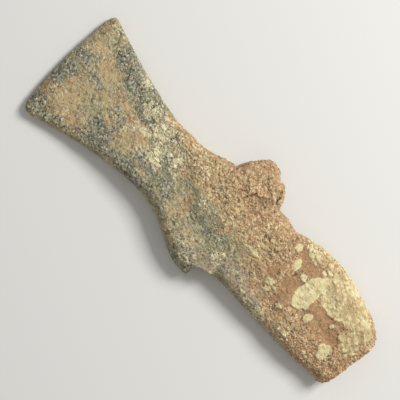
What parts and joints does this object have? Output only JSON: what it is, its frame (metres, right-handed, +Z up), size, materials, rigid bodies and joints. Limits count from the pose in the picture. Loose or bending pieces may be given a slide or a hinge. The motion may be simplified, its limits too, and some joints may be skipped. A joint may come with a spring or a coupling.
{
  "type": "lugged copper axe head",
  "caption": "Cast copper axe head with a flared blade, narrow waist, side lugs and a flat tang for a haft, patinated and part covered in hard burial soil.",
  "frame": {"origin": "middle of the part's box in plan, on the flat face that it lies on", "axes": "+X along the axe from the butt to the cutting edge, +Y across towards the bare lug, +Z up from the flat face"},
  "size_m": [0.185, 0.0626, 0.0146],
  "materials": {
    "patinated_copper": "matt grey-green patina under tan soil film, with brown soil crust and pale lime on the tang"
  },
  "bodies": {
    "root": {"axe_head": "patinated_copper"}
  },
  "joints": []
}
